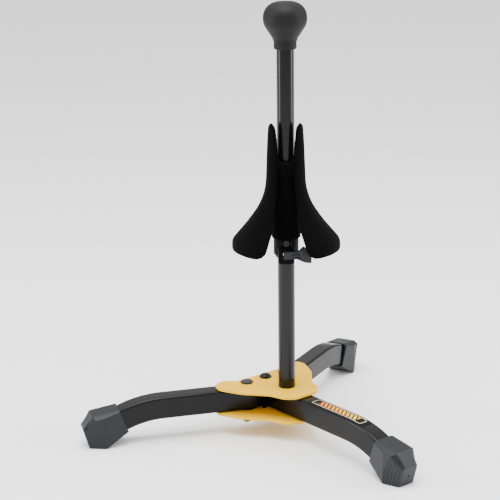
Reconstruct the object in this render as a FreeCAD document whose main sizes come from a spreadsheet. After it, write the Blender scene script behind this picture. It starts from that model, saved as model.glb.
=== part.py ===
import FreeCAD, Part
import math
import os
import Sketcher

# Peg stand for a soprano saxophone: three legs, a pole with a rubber knob, and a
# three-petal peg that slides on the pole and is clamped with a thumb lever.
# +Z is up, the floor is Z = 0, the fixed leg points along -Y, and the origin is
# the middle of the footprint. All lengths are millimetres, all angles degrees.

SIZES = {
    # where the pole stands, and how the peg is turned on it
    "pole_back": 32.0,            # pole axis behind the middle of the footprint
    "peg_turn": -39.4,            # lever side of the peg, seen from above
    # leg tube
    "tube_width": 18.0,
    "tube_height": 22.0,
    "tube_wall": 1.5,
    "tube_corner": 2.6,
    "tube_axis_height": 33.0,
    "bend_radius": 100.0,
    "bend_angle": 23.0,
    "tube_tail": 20.0,            # straight end inside the boot
    # where the legs are fastened, measured from the pole
    "pivot_side": 23.3,
    "pivot_back": 32.3,
    "open_angle": 114.0,          # swivel leg away from the fixed leg
    "fixed_straight": 91.4,       # pole axis to the start of the bend
    "fixed_rear": 41.5,           # pole axis to the rear end of the fixed leg
    "swivel_straight": 83.6,      # pivot to the start of the bend
    "swivel_long_corner": 11.3,   # rear corner of the cut end, which is the open stop
    "swivel_short_corner": 7.8,
    "bush_nose": 14.0,            # round ends of the bush, about the pivot
    "stop_corner": 13.7,          # outer side of a leg stop, from the middle of the fixed leg
    "stop_front": 19.0,           # front of a leg stop, behind the pole
    # rubber boot, measured along the leg from the start of the bend and up from the floor
    "boot_mouth": 35.0,
    "boot_mouth_height": 13.6,
    "boot_mouth_half_width": 10.5,
    "boot_heel": 57.5,
    "boot_toe": 72.7,
    "boot_nose": 78.3,
    "boot_nose_height": 19.9,
    "boot_nose_half_width": 8.8,
    "boot_crest": 68.9,
    "boot_crest_height": 32.4,
    "boot_half_width": 14.5,
    "boot_ridge_half_width": 9.2,   # flat of the boot's top
    "boot_brim": 43.4,
    "boot_brim_height": 36.5,
    # label on the fixed leg
    "decal_start": 38.0,
    "decal_turn": 11.5,
    # plates
    "plate_thick": 2.5,
    "plate_gap": 23.0,
    "washer_thick": 0.5,
    # pole and knob
    "pole_radius": 8.0,
    "pole_bore": 6.8,
    "pole_top": 398.0,
    "knob_top": 411.6,
    "knob_radius": 19.8,
    "knob_neck": 10.3,
    "knob_bottom": 369.8,
    "knob_shoulder": 13.7,        # rounding of the knob's upper edge
    # screws and sleeves
    "small_screw": 3.0,
    "pole_screw": 4.0,
    "screw_play": 0.1,
    "pivot_sleeve": 5.0,
    "pole_sleeve": 6.2,
    "running_play": 0.05,
    # peg: outer surface of the petals, as radius and height of each corner
    "petal_wall": 2.4,
    "tip_radius": 16.2,
    "tip_height": 304.0,
    "leaf_radius": 18.9,
    "flare_height": 235.2,
    "mid_radius": 34.3,
    "mid_height": 212.2,
    "lobe_radius": 50.4,
    "lobe_height": 193.0,
    "lobe_bottom": 185.2,
    "ring_bottom": 258.0,
    "ring_top": 268.0,
    "hub_radius": 13.4,
    "hub_bottom": 195.5,
    # clamp collar under the petals
    "collar_radius": 11.7,
    "collar_bore": 8.6,
    "collar_bottom": 175.0,
    "collar_top": 256.0,
    "boss_width": 14.6,
    "boss_front": 14.2,
    "boss_bottom": 172.5,
    "boss_top": 188.0,
    "clamp_height": 182.3,
    "clamp_screw_radius": 3.0,
    "clamp_nose_radius": 2.0,
    "clamp_stud_radius": 1.5,
    "clamp_nut_radius": 4.0,
    "clamp_nut_back": 9.8,
    "clamp_nut_front": 13.2,
    "lever_back": 14.5,
    "collar_screw_height": 192.0,
}

doc = FreeCAD.newDocument("peg_stand")
sheet = doc.addObject("Spreadsheet::Sheet", "Sizes")


class Size:
    """A number that also remembers the spreadsheet formula it comes from."""

    def __init__(self, value, text):
        self.value = value
        self.text = text

    def _with(self, other, sign, result):
        other = as_size(other)
        return Size(result(self.value, other.value), "(%s %s %s)" % (self.text, sign, other.text))

    def __add__(self, other):
        return self._with(other, "+", lambda a, b: a + b)

    def __sub__(self, other):
        return self._with(other, "-", lambda a, b: a - b)

    def __mul__(self, other):
        return self._with(other, "*", lambda a, b: a * b)

    def __truediv__(self, other):
        return self._with(other, "/", lambda a, b: a / b)

    def __neg__(self):
        return as_size(0.0) - self

    def __radd__(self, other):
        return as_size(other) + self

    def __rsub__(self, other):
        return as_size(other) - self

    __rmul__ = __mul__


def as_size(number):
    return number if isinstance(number, Size) else Size(float(number), repr(float(number)))


def sine(angle):
    return Size(math.sin(math.radians(angle.value)), "sin(%s * 1deg)" % angle.text)


def cosine(angle):
    return Size(math.cos(math.radians(angle.value)), "cos(%s * 1deg)" % angle.text)


class Sizes:
    """Every driving dimension, as an attribute of its own."""

    def __init__(self, table):
        for row, (name, number) in enumerate(table.items(), start=1):
            sheet.set("A%d" % row, name)
            sheet.set("B%d" % row, str(number))
            sheet.setAlias("B%d" % row, name)
            setattr(self, name, Size(number, "Sizes." + name))


s = Sizes(SIZES)
doc.recompute()

nodes = []


def bind(thing, prop, number):
    number = as_size(number)
    thing.setExpression(prop, number.text)


def place(thing, x=0.0, y=0.0, z=0.0, turn=0.0):
    """Stand a sub-part at x, y, z, turned about the vertical."""
    spot = [as_size(number) for number in (x, y, z, turn)]
    base = FreeCAD.Vector(*(number.value for number in spot[:3]))
    thing.Placement = FreeCAD.Placement(base, FreeCAD.Rotation(FreeCAD.Vector(0, 0, 1), spot[3].value))
    for axis, number in zip("xyz", spot):
        bind(thing, "Placement.Base." + axis, number)
    bind(thing, "Placement.Rotation.Angle", spot[3])


def keep(thing, label):
    thing.Label = label
    nodes.append(thing)
    return thing


# ---------------------------------------------------------------- sketch helpers

def new_sketch(body, name, plane, offset=0.0):
    sketch = body.newObject("Sketcher::SketchObject", name)
    role = {feature.Role: feature for feature in body.Origin.OriginFeatures}
    sketch.AttachmentSupport = [(role[plane], "")]
    sketch.MapMode = "FlatFace"
    bind(sketch, "AttachmentOffset.Base.z", offset)
    return sketch


def pin_point(sketch, geometry, end, x, y):
    """Hold one point of a sketch at x, y."""
    for kind, number in (("DistanceX", as_size(x)), ("DistanceY", as_size(y))):
        index = sketch.addConstraint(Sketcher.Constraint(kind, -1, 1, geometry, end, number.value))
        bind(sketch, "Constraints[%d]" % index, number)


def circle(sketch, x, y, radius):
    centre = FreeCAD.Vector(as_size(x).value, as_size(y).value, 0)
    up = FreeCAD.Vector(0, 0, 1)
    index = sketch.addGeometry(Part.Circle(centre, up, as_size(radius).value), False)
    pin_point(sketch, index, 3, x, y)
    held = sketch.addConstraint(Sketcher.Constraint("Radius", index, as_size(radius).value))
    bind(sketch, "Constraints[%d]" % held, radius)


def outline(sketch, corners, closed=True):
    """Straight sides between corners (x, y, rounding), each rounding a tangent arc."""
    spots = [FreeCAD.Vector(as_size(x).value, as_size(y).value, 0) for x, y, _ in corners]
    count = len(corners)
    arrive, leave, arcs = [], [], []
    for index, (x, y, rounding) in enumerate(corners):
        size = as_size(rounding).value
        spot = spots[index]
        if size == 0:
            arrive.append(spot)
            leave.append(spot)
            arcs.append(None)
            continue
        before = (spots[index - 1] - spot).normalize()
        after = (spots[(index + 1) % count] - spot).normalize()
        half = before.getAngle(after) / 2
        reach = size / math.tan(half)
        centre = spot + (before + after).normalize() * (size / math.sin(half))
        arrive.append(spot + before * reach)
        leave.append(spot + after * reach)
        left_turn = before.cross(after).z < 0
        start, end = (arrive[-1], leave[-1]) if left_turn else (leave[-1], arrive[-1])
        angles = [math.atan2(point.y - centre.y, point.x - centre.x) for point in (start, end)]
        arcs.append((centre, size, angles, left_turn))
    sides = {}
    for index in range(count if closed else count - 1):
        following = (index + 1) % count
        line = Part.LineSegment(leave[index], arrive[following])
        sides[index] = sketch.addGeometry(line, False)
    for index, (x, y, rounding) in enumerate(corners):
        into = sides.get((index - 1) % count) if closed or index else None
        out = sides.get(index)
        if arcs[index] is None:
            if into is not None and out is not None:
                sketch.addConstraint(Sketcher.Constraint("Coincident", into, 2, out, 1))
            if out is not None:
                pin_point(sketch, out, 1, x, y)
            else:
                pin_point(sketch, into, 2, x, y)
            continue
        centre, size, angles, left_turn = arcs[index]
        ring = Part.Circle(centre, FreeCAD.Vector(0, 0, 1), size)
        arc = sketch.addGeometry(Part.ArcOfCircle(ring, angles[0], angles[1]), False)
        first, last = (1, 2) if left_turn else (2, 1)
        vertex = sketch.addGeometry(Part.Point(spots[index]), True)
        pin_point(sketch, vertex, 1, x, y)
        sketch.addConstraint(Sketcher.Constraint("PointOnObject", vertex, 1, into))
        sketch.addConstraint(Sketcher.Constraint("PointOnObject", vertex, 1, out))
        sketch.addConstraint(Sketcher.Constraint("Tangent", into, 2, arc, first))
        sketch.addConstraint(Sketcher.Constraint("Tangent", arc, last, out, 1))
        held = sketch.addConstraint(Sketcher.Constraint("Radius", arc, size))
        bind(sketch, "Constraints[%d]" % held, rounding)


def mirrored(half):
    """The right half of an outline, from bottom to top, with its left half added."""
    return half + [(-x, y, rounding) for x, y, rounding in reversed(half)]


def rectangle(width, height, x=0.0, y=0.0, rounding=0.0):
    return [(x - width / 2, y - height / 2, rounding), (x + width / 2, y - height / 2, rounding),
            (x + width / 2, y + height / 2, rounding), (x - width / 2, y + height / 2, rounding)]


# ---------------------------------------------------------------- feature helpers

def new_body(name):
    return doc.addObject("PartDesign::Body", name)


def pad(body, sketch, length, midplane=False, flip=False):
    feature = body.newObject("PartDesign::Pad", "Pad")
    feature.Profile = sketch
    bind(feature, "Length", length)
    feature.Midplane = midplane
    feature.Reversed = flip
    doc.recompute()
    return feature


def pocket(body, sketch, length=None, midplane=False, flip=False):
    before = body.Shape.Volume
    feature = body.newObject("PartDesign::Pocket", "Pocket")
    feature.Profile = sketch
    if length is None:
        feature.Type = 1
    else:
        bind(feature, "Length", length)
    feature.Midplane = midplane
    feature.Reversed = flip
    doc.recompute()
    if body.Shape.Volume >= before - 0.01:
        raise ValueError(sketch.Name + " cuts nothing")
    return feature


def revolve(body, sketch):
    feature = body.newObject("PartDesign::Revolution", "Revolution")
    feature.Profile = sketch
    feature.ReferenceAxis = (sketch, ["V_Axis"])
    feature.Angle = 360
    doc.recompute()
    return feature


def turned_piece(name, corners):
    """A round sub-part: the section (radius, height) swung about the vertical."""
    body = new_body(name)
    sketch = new_sketch(body, name + "_section", "XZ_Plane")
    outline(sketch, corners)
    revolve(body, sketch)
    return body


def ring_section(inner, outer, bottom, top):
    return [(inner, bottom, 0), (outer, bottom, 0), (outer, top, 0), (inner, top, 0)]


def drill(body, name, x, y, radius, length):
    """A vertical hole through everything, centred on x, y."""
    sketch = new_sketch(body, name, "XY_Plane")
    circle(sketch, x, y, radius)
    pocket(body, sketch, length, flip=True)


def group(label, pieces):
    """Identical loose pieces that share one name."""
    compound = doc.addObject("Part::Compound", label + "_set")
    compound.Links = pieces
    doc.recompute()
    return keep(compound, label)


# ---------------------------------------------------------------- shared heights

plate_low = s.tube_axis_height - s.plate_gap / 2
plate_high = s.tube_axis_height + s.plate_gap / 2
plates_bottom = plate_low - s.plate_thick
plates_top = plate_high + s.plate_thick
leg_turn = s.open_angle - 90.0
PIVOT_SIDES = {"left": -1, "right": 1}


# ---------------------------------------------------------------- plates

def plate(label, bottom):
    """Y-shaped pressed plate: one lobe over the fixed leg, one over each pivot."""
    body = new_body(label)
    sketch = new_sketch(body, label + "_outline", "XY_Plane")
    half = [(19.5, -29.5, 17.0), (26.0, -6.5, 24.0), (44.5, 14.5, 40.0),
            (58.5, 46.5, 12.5), (38.5, 51.6, 5.0), (28.2, 42.0, 7.0)]
    outline(sketch, mirrored(half))
    pad(body, sketch, s.plate_thick)
    drill(body, label + "_pole_hole", 0, 0, s.pole_screw + s.screw_play, s.plate_thick)
    drill(body, label + "_rear_hole", 0, s.pivot_back, s.small_screw + s.screw_play, s.plate_thick)
    for side, sign in PIVOT_SIDES.items():
        hole = "%s_%s_hole" % (label, side)
        drill(body, hole, s.pivot_side * sign, s.pivot_back, s.small_screw + s.screw_play, s.plate_thick)
    place(body, 0, s.pole_back, bottom)
    return keep(body, label)


# ---------------------------------------------------------------- legs

BUSH_PLAY = 0.04


def leg_path(body, start, straight):
    """Centre line of a leg: straight, bent down once, straight again."""
    sketch = new_sketch(body, body.Name + "_path", "XZ_Plane")
    reach = s.bend_radius * (sine(s.bend_angle / 2) / cosine(s.bend_angle / 2))
    corner = straight + reach
    end_x = corner + (reach + s.tube_tail) * cosine(s.bend_angle)
    end_z = -(reach + s.tube_tail) * sine(s.bend_angle)
    outline(sketch, [(start, 0, 0), (corner, 0, s.bend_radius), (end_x, end_z, 0)], closed=False)
    return sketch


def leg_section(body, start, width, height, corner, wall=None):
    sketch = new_sketch(body, body.Name + "_section", "YZ_Plane", start)
    outline(sketch, rectangle(width, height, rounding=corner))
    if wall is not None:
        inner = rectangle(width - wall * 2, height - wall * 2, rounding=corner - wall)
        outline(sketch, inner)
    return sketch


def leg_tube(name, start, straight):
    """Rectangular tube along the leg's own X, in the leg's own frame."""
    body = new_body(name)
    path = leg_path(body, start, straight)
    section = leg_section(body, start, s.tube_width, s.tube_height, s.tube_corner, s.tube_wall)
    doc.recompute()
    pipe = body.newObject("PartDesign::AdditivePipe", "Pipe")
    pipe.Profile = section
    pipe.Spine = path
    doc.recompute()
    return body


def fixed_leg():
    body = leg_tube("fixed_leg", -s.fixed_rear, s.fixed_straight)
    sketch = new_sketch(body, "fixed_leg_pole_hole", "XY_Plane")
    circle(sketch, 0, 0, s.pole_sleeve + s.running_play)
    pocket(body, sketch, s.tube_height * 2, midplane=True)
    sketch = new_sketch(body, "fixed_leg_rear_hole", "XY_Plane")
    circle(sketch, -s.pivot_back, 0, s.pivot_sleeve + s.running_play)
    pocket(body, sketch, s.tube_height * 2, midplane=True)
    place(body, 0, s.pole_back, s.tube_axis_height, -90)
    return keep(body, "fixed_leg")


def swivel_spot(body, side):
    """Stand a piece of a swivel leg on its pivot, pointing out at the open angle."""
    turn = leg_turn if side > 0 else 180.0 - leg_turn
    place(body, s.pivot_side * side, s.pole_back + s.pivot_back, s.tube_axis_height, turn)


def swivel_leg(label, side):
    """Pivoting leg; the slanted inner end meets the fixed leg when it is open."""
    body = leg_tube(label, -s.swivel_long_corner, s.swivel_straight)
    end_cut = new_sketch(body, label + "_end_cut", "XY_Plane")
    near = s.tube_width / -2 * side
    far = s.tube_width / 2 * side
    waste = -s.swivel_long_corner - 2.0
    outline(end_cut, [(-s.swivel_short_corner, near, 0), (-s.swivel_long_corner, far, 0),
                      (waste, far, 0), (waste, near, 0)])
    pocket(body, end_cut, s.tube_height * 2, midplane=True)
    hole = new_sketch(body, label + "_pivot_hole", "XY_Plane")
    circle(hole, 0, 0, s.pivot_sleeve + 0.4)
    pocket(body, hole, s.tube_height * 2, midplane=True)
    swivel_spot(body, side)
    return keep(body, label)


def pivot_bush(label, side):
    """Black nylon block inside the tube, round-ended about the steel sleeve it turns on."""
    body = new_body(label)
    section = new_sketch(body, label + "_section", "YZ_Plane", -s.bush_nose)
    less = s.tube_wall * 2 + BUSH_PLAY
    outline(section, rectangle(s.tube_width - less, s.tube_height - less,
                               rounding=s.tube_corner - s.tube_wall))
    pad(body, section, s.bush_nose * 2)
    ends = new_sketch(body, label + "_ends", "XY_Plane")
    circle(ends, 0, 0, s.bush_nose)
    outline(ends, rectangle(s.bush_nose * 4, s.bush_nose * 4))
    pocket(body, ends, s.tube_height * 2, midplane=True)
    bore = new_sketch(body, label + "_bore", "XY_Plane")
    circle(bore, 0, 0, s.pivot_sleeve + s.running_play)
    pocket(body, bore, s.tube_height * 2, midplane=True)
    swivel_spot(body, side)
    return keep(body, label)


def leg_stop(label, side):
    """Plastic block between the plates, filling the corner beside the fixed leg."""
    body = new_body(label)
    inner = (s.tube_width / 2 + 0.02) * side
    outer = s.stop_corner * side
    sketch = new_sketch(body, label + "_plan", "XY_Plane")
    outline(sketch, [(inner, s.stop_front, 0), (outer, s.stop_front, 0.6), (outer, s.stop_front + 1.9, 0),
                     ((s.stop_corner - 2.4) * side, s.stop_front + 4.4, 0),
                     (inner, s.stop_front + 8.0, 0)])
    pad(body, sketch, s.plate_gap)
    place(body, 0, s.pole_back, plate_low)
    return body


def boot(label, start, straight):
    """Rubber boot: three keep-outlines from the side, from above and from the end."""
    body = new_body(label)
    low = -s.tube_axis_height
    side_view = new_sketch(body, label + "_side", "XZ_Plane")
    outline(side_view, [(straight + s.boot_mouth, low + s.boot_mouth_height, 1.0),
                        (straight + s.boot_heel, low, 1.5), (straight + s.boot_toe, low, 1.5),
                        (straight + s.boot_nose, low + s.boot_nose_height, 1.5),
                        (straight + s.boot_crest, low + s.boot_crest_height, 2.0),
                        (straight + s.boot_brim, low + s.boot_brim_height, 1.0)])
    pad(body, side_view, 40.0, midplane=True)
    # the narrow end leans forward, so the plan is cut along the lean of the corner
    lean = (s.boot_crest - s.boot_heel) / s.boot_crest_height
    rise = s.tube_axis_height - s.boot_crest_height
    broad_x = straight + s.boot_crest + lean * rise
    narrow_x = straight + s.boot_nose + lean * (s.tube_axis_height - s.boot_nose_height)
    mouth_x = straight + s.boot_mouth + lean * (s.tube_axis_height - s.boot_mouth_height)
    flare = (s.boot_half_width - s.boot_mouth_half_width) / (broad_x - mouth_x)
    taper = (s.boot_half_width - s.boot_nose_half_width) / (narrow_x - broad_x)
    beyond = 20.0
    top_view = new_sketch(body, label + "_top", "XY_Plane")
    outline(top_view, rectangle(as_size(110.0), as_size(80.0), straight + 55.0, 0.0))
    outline(top_view, mirror_y([(mouth_x - beyond, s.boot_mouth_half_width - flare * beyond, 0),
                                (broad_x, s.boot_half_width, 2.0),
                                (narrow_x + 4.0, s.boot_nose_half_width - taper * 4.0, 0)]))
    leaning_pocket(body, top_view, lean, 1.0)
    ridge = new_sketch(body, label + "_ridge", "YZ_Plane", straight + s.boot_crest)
    outline(ridge, rectangle(as_size(60.0), as_size(100.0)))
    slope, over, beside = 0.5, 2.0, 16.8
    top = low + s.boot_crest_height
    outline(ridge, mirrored([(s.boot_ridge_half_width + beside, low - 12.0, 0),
                             (s.boot_ridge_half_width + beside, top - beside * slope, 0),
                             (s.boot_ridge_half_width - over, top + over * slope, 0)]))
    fall = (s.boot_brim_height - s.boot_crest_height) / (s.boot_crest - s.boot_brim)
    leaning_pocket(body, ridge, 1.0, -fall)
    path = leg_path(body, start, straight)
    section = leg_section(body, start, s.tube_width, s.tube_height, s.tube_corner)
    doc.recompute()
    before = body.Shape.Volume
    bore = body.newObject("PartDesign::SubtractivePipe", "Bore")
    bore.Profile = section
    bore.Spine = path
    doc.recompute()
    if body.Shape.Volume >= before:
        raise ValueError(label + " has no bore")
    return body


def leaning_pocket(body, sketch, x, z):
    """Cut right through the boot along a direction in the leg's own upright plane."""
    cut = pocket(body, sketch, 160.0, midplane=True)
    cut.UseCustomVector = True
    for axis, number in (("x", x), ("y", 0.0), ("z", z)):
        setattr(cut.Direction, axis, as_size(number).value)
        bind(cut, "Direction." + axis, number)
    doc.recompute()


def mirror_y(half):
    """An outline whose upper half is given from left to right."""
    return half + [(x, -y, rounding) for x, y, rounding in reversed(half)]


def fixed_boot():
    body = boot("fixed_leg_boot", -s.fixed_rear, s.fixed_straight)
    place(body, 0, s.pole_back, s.tube_axis_height, -90)
    return keep(body, "fixed_leg_boot")


def swivel_boot(label, side):
    body = boot(label, as_size(0.0), s.swivel_straight)
    swivel_spot(body, side)
    return keep(body, label)


def end_plug():
    """Plastic plug that closes the rear end of the fixed leg."""
    body = new_body("fixed_leg_plug")
    inner = new_sketch(body, "fixed_leg_plug_stem", "YZ_Plane", -s.fixed_rear)
    outline(inner, rectangle(s.tube_width - s.tube_wall * 2 - 0.1, s.tube_height - s.tube_wall * 2 - 0.1,
                             rounding=as_size(1.0)))
    pad(body, inner, 3.6)
    cap = new_sketch(body, "fixed_leg_plug_cap", "YZ_Plane", -s.fixed_rear)
    outline(cap, rectangle(s.tube_width, s.tube_height, rounding=s.tube_corner))
    pad(body, cap, 1.2, flip=True)
    place(body, 0, s.pole_back, s.tube_axis_height, -90)
    return keep(body, "fixed_leg_plug")


def leg_decal():
    """Plain printed label on top of the fixed leg, following the start of the bend."""
    body = new_body("leg_decal")
    thick = 0.25
    middle = s.tube_height / 2 + thick / 2
    radius = s.bend_radius + middle
    end_x = s.fixed_straight + radius * sine(s.decal_turn)
    path = new_sketch(body, "leg_decal_path", "XZ_Plane")
    outline(path, [(s.decal_start, middle, 0), (s.fixed_straight, middle, 0)], closed=False)
    centre = FreeCAD.Vector(s.fixed_straight.value, middle.value - radius.value, 0)
    ring = Part.Circle(centre, FreeCAD.Vector(0, 0, 1), radius.value)
    top_angle = math.radians(90.0)
    end_angle = math.radians(90.0 - s.decal_turn.value)
    arc = path.addGeometry(Part.ArcOfCircle(ring, end_angle, top_angle), False)
    path.addConstraint(Sketcher.Constraint("Tangent", 0, 2, arc, 2))
    held = path.addConstraint(Sketcher.Constraint("Radius", arc, radius.value))
    bind(path, "Constraints[%d]" % held, radius)
    held = path.addConstraint(Sketcher.Constraint("DistanceX", -1, 1, arc, 1, end_x.value))
    bind(path, "Constraints[%d]" % held, end_x)
    section = new_sketch(body, "leg_decal_section", "YZ_Plane", s.decal_start)
    outline(section, rectangle(s.tube_width - s.tube_corner * 2, as_size(thick), 0.0, middle))
    doc.recompute()
    pipe = body.newObject("PartDesign::AdditivePipe", "Pipe")
    pipe.Profile = section
    pipe.Spine = path
    doc.recompute()
    place(body, 0, s.pole_back, s.tube_axis_height, -90)
    return keep(body, "leg_decal")


# ---------------------------------------------------------------- fasteners

def sleeve(label, radius, screw, x, y):
    section = ring_section(screw + s.screw_play, radius, plate_low, plate_high)
    body = turned_piece(label, section)
    place(body, x, s.pole_back + y)
    return body


def low_head_bolt(label, x, y):
    """Bolt with a flat low head above the upper plate."""
    head = s.small_screw * 2
    section = [(0, 9.5, 0), (s.small_screw, 9.5, 0), (s.small_screw, plates_top, 0), (head, plates_top, 0),
               (head, plates_top + 1.6, 0), (head - 0.8, plates_top + 2.2, 0), (0, plates_top + 2.2, 0)]
    body = turned_piece(label, section)
    place(body, x, s.pole_back + y)
    return body


def dome_bolt(label, x, y):
    head = s.small_screw * 2
    section = [(0, 9.5, 0), (s.small_screw, 9.5, 0), (s.small_screw, plates_top, 0), (head, plates_top, 0),
               (head, plates_top + 0.8, 0), (head * 0.62, plates_top + 3.4, 4.5), (0, plates_top + 3.9, 0)]
    body = turned_piece(label, section)
    place(body, x, s.pole_back + y)
    return keep(body, label)


def cap_nut(label, x, y):
    """Domed nut under the lower plate."""
    nut = doc.addObject("Part::Prism", label + "_hexagon")
    nut.Polygon = 6
    bind(nut, "Circumradius", s.small_screw * 1.92)
    bind(nut, "Height", 6.0)
    nut.Placement.Base.z = 0
    dome = doc.addObject("Part::Cylinder", label + "_dome")
    bind(dome, "Radius", s.small_screw * 1.55)
    bind(dome, "Height", 12.6)
    bind(dome, "Placement.Base.z", -6.6)
    rounded = doc.addObject("Part::Fillet", label + "_rounded")
    doc.recompute()
    rounded.Base = dome
    rounded.Edges = [(lowest_edge(dome.Shape), 4.2, 4.2)]
    body = doc.addObject("Part::Fuse", label + "_body")
    body.Base = nut
    body.Tool = rounded
    hole = doc.addObject("Part::Cylinder", label + "_hole")
    bind(hole, "Radius", s.small_screw + 0.02)
    bind(hole, "Height", 12.0)
    bind(hole, "Placement.Base.z", plates_bottom * -1.0 + 6.0 + 9.3)
    cut = doc.addObject("Part::Cut", label)
    cut.Base = body
    cut.Tool = hole
    place(cut, x, s.pole_back + y, plates_bottom - 6.0)
    doc.recompute()
    return cut


def lowest_edge(shape):
    """Number of the lowest closed edge of a shape."""
    heights = [(edge.BoundBox.ZMax, number) for number, edge in enumerate(shape.Edges, start=1)]
    return min(heights)[1]


def flat_washer(label, inner, outer, bottom, top, x, y):
    body = turned_piece(label, ring_section(inner, outer, bottom, top))
    place(body, x, s.pole_back + y)
    return body


def pole_bolt():
    """Hexagon bolt that comes up through both plates into the pole."""
    head_bottom = plates_bottom - 1.2 - 5.3
    head = doc.addObject("Part::Prism", "pole_bolt_head")
    head.Polygon = 6
    bind(head, "Circumradius", s.pole_screw * 1.87)
    bind(head, "Height", 5.3)
    shank = doc.addObject("Part::Cylinder", "pole_bolt_shank")
    bind(shank, "Radius", s.pole_screw)
    bind(shank, "Height", 46.0)
    bolt = doc.addObject("Part::Fuse", "pole_bolt")
    bolt.Base = head
    bolt.Tool = shank
    place(bolt, 0, s.pole_back, head_bottom)
    doc.recompute()
    return keep(bolt, "pole_bolt")


# ---------------------------------------------------------------- pole and knob

def pole():
    body = turned_piece("pole", ring_section(s.pole_bore, s.pole_radius, plates_top, s.pole_top))
    place(body, 0, s.pole_back)
    return keep(body, "pole")


def pole_foot():
    """Threaded steel plug pressed into the foot of the pole."""
    section = ring_section(s.pole_screw + 0.05, s.pole_bore, plates_top, plates_top + 22.0)
    body = turned_piece("pole_foot", section)
    place(body, 0, s.pole_back)
    return keep(body, "pole_foot")


def knob():
    """Rubber bulb pushed over the top of the pole."""
    inner = s.pole_radius
    section = [(inner, s.knob_bottom, 0), (s.knob_neck, s.knob_bottom, 0.8),
               (s.knob_neck, s.knob_bottom + 7.2, 0), (s.knob_neck + 0.6, s.knob_bottom + 7.2, 0),
               (s.knob_neck + 1.0, s.knob_bottom + 9.3, 4.0), (s.knob_radius, s.knob_bottom + 22.3, 14.0),
               (s.knob_radius, s.knob_top - 0.3, s.knob_shoulder), (0, s.knob_top, 0), (0, s.pole_top, 0),
               (inner, s.pole_top, 0)]
    body = turned_piece("pole_knob", section)
    place(body, 0, s.pole_back)
    return keep(body, "pole_knob")


# ---------------------------------------------------------------- peg

FIRST_ROUND = 60.0
SECOND_ROUND = 130.0
LOBE_ROUND = 9.0


def turn_between(upper_radius, upper_height, lower_radius, lower_height):
    """Lean of one straight stretch of the petals, away from the vertical."""
    return math.degrees(math.atan2(lower_radius.value - upper_radius.value,
                                   upper_height.value - lower_height.value))


def offset_corner(radius, height, turn_in, turn_out):
    """Corner of the inner surface, one wall behind a corner of the outer one."""
    middle = math.radians((turn_in + turn_out) / 2)
    half = math.radians(abs(turn_out - turn_in) / 2)
    scale = 1 / math.cos(half)
    return (radius - s.petal_wall * (math.cos(middle) * scale),
            height - s.petal_wall * (math.sin(middle) * scale))


def petals():
    """Three-petal moulding: slit tube that flares to three rounded lobes, with a hub."""
    body = new_body("peg_petals")
    wall = s.petal_wall
    first_turn = turn_between(s.leaf_radius, s.flare_height, s.mid_radius, s.mid_height)
    second_turn = turn_between(s.mid_radius, s.mid_height, s.lobe_radius, s.lobe_height)
    inner_first = offset_corner(s.leaf_radius, s.flare_height, 0.0, first_turn)
    inner_second = offset_corner(s.mid_radius, s.mid_height, first_turn, second_turn)
    inner_third = offset_corner(s.lobe_radius, s.lobe_height, second_turn, 0.0)
    shell = new_sketch(body, "petal_wall_section", "XZ_Plane")
    outline(shell, [(s.tip_radius, s.tip_height, 1.0), (s.tip_radius - wall, s.tip_height, 1.0),
                    (inner_first[0], inner_first[1], FIRST_ROUND + wall),
                    (inner_second[0], inner_second[1], SECOND_ROUND + wall),
                    (inner_third[0], inner_third[1], LOBE_ROUND - wall),
                    (s.lobe_radius - wall, s.lobe_bottom, 1.0), (s.lobe_radius, s.lobe_bottom, 1.0),
                    (s.lobe_radius, s.lobe_height, LOBE_ROUND),
                    (s.mid_radius, s.mid_height, SECOND_ROUND),
                    (s.leaf_radius, s.flare_height, FIRST_ROUND)])
    revolve(body, shell)
    gap = new_sketch(body, "petal_gap", "XZ_Plane")
    half = [(36.0, s.lobe_bottom - 4.0, 0), (36.0, s.lobe_bottom - 0.4, 0), (21.4, s.lobe_bottom + 1.0, 12.0),
            (12.1, 213.0, 14.0), (8.4, 251.0, 40.0), (7.5, 276.0, 60.0), (10.2, s.tip_height - 4.0, 7.0),
            (16.4, s.tip_height + 2.4, 0), (16.4, s.tip_height + 5.0, 0)]
    outline(gap, mirrored(half))
    cut = pocket(body, gap, flip=True)
    around = body.newObject("PartDesign::PolarPattern", "Gaps")
    around.Originals = [cut]
    around.Axis = (gap, ["V_Axis"])
    around.Angle = 360
    around.Occurrences = 3
    body.Tip = around
    doc.recompute()
    hub = new_sketch(body, "hub_section", "XZ_Plane")
    outline(hub, [(s.collar_radius, s.hub_bottom, 0), (s.hub_radius, s.hub_bottom, 0.8),
                  (s.hub_radius, s.ring_bottom, 1.0), (s.leaf_radius - 0.5, s.ring_bottom, 0.8),
                  (s.leaf_radius - 0.5, s.ring_top, 1.2), (10.0, s.ring_top, 0), (10.0, s.ring_top - 2.0, 0),
                  (s.collar_radius, s.ring_top - 2.0, 0)])
    revolve(body, hub)
    place(body, 0, s.pole_back, 0, s.peg_turn)
    return keep(body, "peg_petals")


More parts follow.
